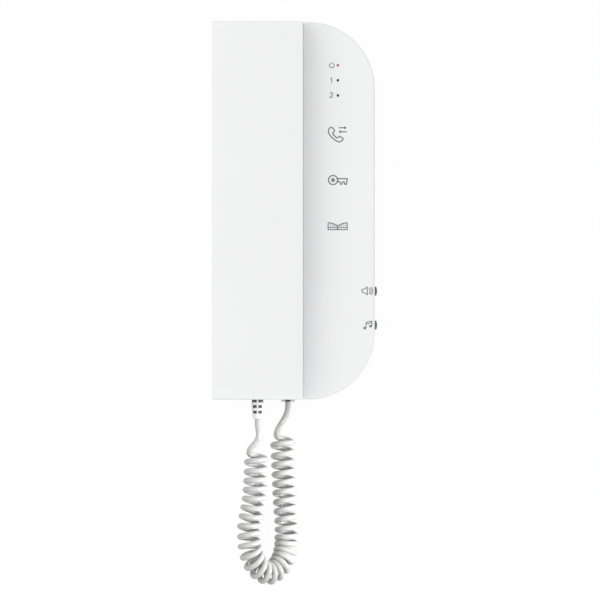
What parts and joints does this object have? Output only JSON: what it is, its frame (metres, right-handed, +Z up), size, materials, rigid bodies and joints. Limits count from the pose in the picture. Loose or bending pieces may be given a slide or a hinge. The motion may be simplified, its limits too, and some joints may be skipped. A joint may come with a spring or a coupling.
{
  "type": "wall phone",
  "caption": "Slim wall door phone with a flat lift-off handset on a curly cord, a raised panel with touch keys and lights, and side push-buttons.",
  "frame": {"origin": "centre of the wall screw pattern, on the back face that lies on the wall", "axes": "+X to the right seen from the front, +Y into the wall, +Z up"},
  "size_m": [0.0945, 0.046, 0.3222],
  "materials": {
    "body_white": "fine satin",
    "handset_white": "fine satin",
    "screw_steel": "zinc plated",
    "magnet_nickel": "nickel plated",
    "circuit_board": "solder mask",
    "terminal_green": "moulded",
    "copper": "bare copper",
    "black_plastic": "moulded",
    "light_red": "clear, lit red",
    "light_dark": "smoked, unlit",
    "button_grey": "satin",
    "foam": "open-cell foam",
    "rubber_grey": "soft rubber",
    "capsule_metal": "drawn can",
    "wire_red": "insulation",
    "cord_white": "soft vinyl, satin"
  },
  "bodies": {
    "wall_unit": {"rear_plate": "body_white", "base_cover": "body_white", "cover_screws": "screw_steel", "main_board": "circuit_board", "board_screws": "screw_steel", "terminal_block": "terminal_green", "terminal_screws": "screw_steel", "line_choke": "copper", "filter_capacitors": "black_plastic", "controller_chip": "black_plastic", "ring_sounder": "black_plastic", "sounder_gasket": "foam", "sounder_wires": "wire_red", "key_board": "circuit_board", "key_board_screws": "screw_steel", "link_header": "black_plastic", "link_socket": "black_plastic", "call_touch_pad": "copper", "door_touch_pad": "copper", "gate_touch_pad": "copper", "power_light": "light_red", "channel_1_light": "light_dark", "channel_2_light": "light_dark", "volume_switch": "black_plastic", "melody_switch": "black_plastic", "hook_switch": "black_plastic", "hook_spring": "screw_steel", "base_magnets": "magnet_nickel", "base_jack": "black_plastic", "base_plug": "cord_white", "cord_lead_base": "cord_white", "cord_coil": "cord_white", "cord_lead_handset": "cord_white"},
    "hook_plunger": {"hook_plunger": "button_grey"},
    "volume_button": {"volume_button": "button_grey"},
    "melody_button": {"melody_button": "button_grey"},
    "handset": {"cord_boot": "cord_white", "handset_front_shell": "handset_white", "handset_rear_shell": "handset_white", "handset_screws": "screw_steel", "receiver_capsule": "black_plastic", "receiver_gasket": "foam", "microphone_capsule": "capsule_metal", "microphone_holder": "rubber_grey", "handset_keepers": "screw_steel", "handset_wires": "wire_red"}
  },
  "joints": [
    {"name": "handset_lift", "type": "slide", "parent": "wall_unit", "child": "handset", "axis": [0, -1, 0], "range_m": [0, 0.07]},
    {"name": "hook_travel", "type": "slide", "parent": "wall_unit", "child": "hook_plunger", "axis": [0, -1, 0], "range_m": [0, 0.0025], "deforming": ["hook_spring"]},
    {"name": "volume_press", "type": "slide", "parent": "wall_unit", "child": "volume_button", "axis": [-1, 0, 0], "range_m": [0, 0.0008], "stiffness_N_per_m": 400},
    {"name": "melody_press", "type": "slide", "parent": "wall_unit", "child": "melody_button", "axis": [-1, 0, 0], "range_m": [0, 0.0008], "stiffness_N_per_m": 400}
  ],
  "couplings": [
    {"joint": "hook_travel", "follows": "handset_lift", "ratio": 0.0357}
  ]
}
